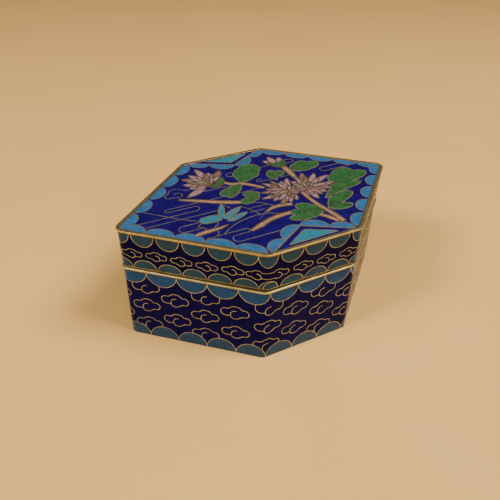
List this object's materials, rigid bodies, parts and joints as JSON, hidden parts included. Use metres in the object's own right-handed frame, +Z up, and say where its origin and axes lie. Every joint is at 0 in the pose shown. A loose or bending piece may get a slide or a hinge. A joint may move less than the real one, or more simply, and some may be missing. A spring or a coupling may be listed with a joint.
{
  "type": "cloisonne enamel box",
  "caption": "Small six-sided enamelled metal trinket box with gilt rims and a flat lift-off lid located by a collar on the tray.",
  "frame": {"origin": "centre of the foot, on the surface that the box stands on", "axes": "+X along the long diagonal from point to point, +Y across the box between the two short flat sides, +Z up through the lid"},
  "size_m": [0.0698, 0.045, 0.0289],
  "materials": {
    "tray_enamel": "glossy fired enamel on copper, deep cobalt with dull blue scallops and gilt partition wires",
    "lid_enamel": "glossy fired enamel on copper, cobalt with pale blue, pink, green and tan cells and gilt partition wires",
    "gilt": "gilt, softly polished, darker in the angles"
  },
  "bodies": {
    "root": {"base_body": "tray_enamel", "base_rim": "gilt", "lid_body": "lid_enamel", "lid_top_rim": "gilt", "lid_lower_rim": "gilt"}
  },
  "joints": []
}
